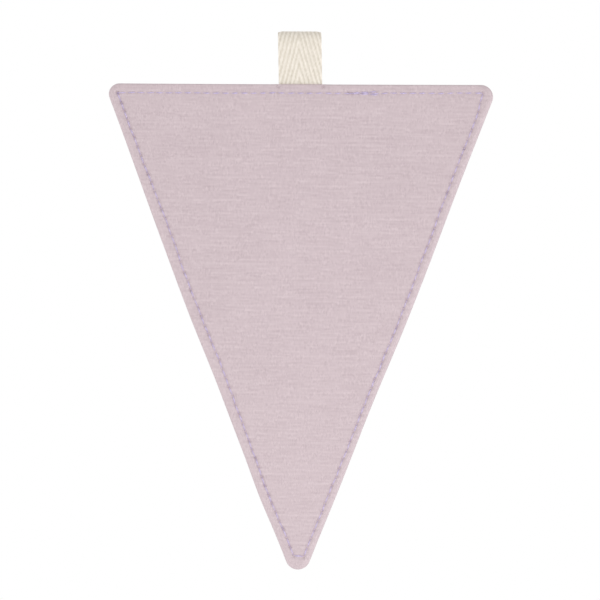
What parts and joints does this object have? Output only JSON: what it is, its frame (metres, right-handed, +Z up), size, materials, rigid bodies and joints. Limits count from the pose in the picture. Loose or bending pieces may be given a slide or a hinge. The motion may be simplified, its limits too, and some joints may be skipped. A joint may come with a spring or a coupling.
{
  "type": "bunting pennant",
  "caption": "Triangular cloth pennant for a bunting line: turned and topstitched cotton panels with a folded herringbone tape loop at the top.",
  "frame": {"origin": "under the crown of the tape loop, at the middle of the tape, where the cord of a bunting line bears", "axes": "+Z up, +X to the right along the cord, the front face towards -Y"},
  "size_m": [0.1807, 0.01, 0.2533],
  "materials": {
    "ribbed_cotton": "matt mauve cotton, finely ribbed crosswise, with lilac topstitching",
    "herringbone_tape": "matt undyed cotton tape in herringbone twill"
  },
  "bodies": {
    "root": {"front_panel": "ribbed_cotton", "back_panel": "ribbed_cotton", "tape_loop": "herringbone_tape"}
  },
  "joints": []
}
